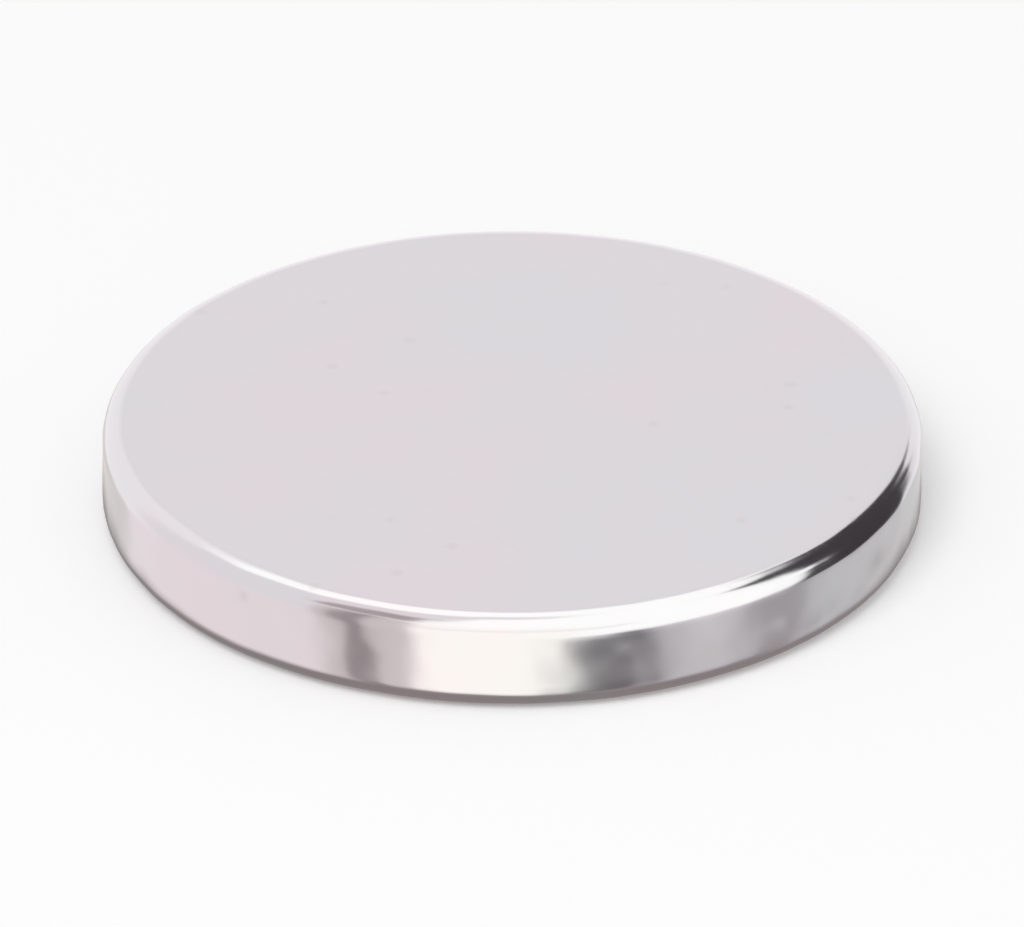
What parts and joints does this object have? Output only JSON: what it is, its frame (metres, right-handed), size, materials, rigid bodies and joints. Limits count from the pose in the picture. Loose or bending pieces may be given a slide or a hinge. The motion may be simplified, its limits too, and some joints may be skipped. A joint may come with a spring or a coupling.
{
  "type": "disc magnet",
  "caption": "Thin round nickel-plated magnet with two flat faces, a straight rim and tumbled edges.",
  "frame": {"origin": "middle of the lower flat face, which is the middle of the bottom of the box", "axes": "+Z along the disc's axis, from the lower face to the upper face; X and Y are any two directions across the face, because the disc is round"},
  "size_m": [0.008, 0.008, 0.001],
  "materials": {
    "nickel_plate": "bright nickel plate, a near mirror with faint clouding and fine handling marks"
  },
  "bodies": {
    "root": {"magnet_disc": "nickel_plate"}
  },
  "joints": []
}
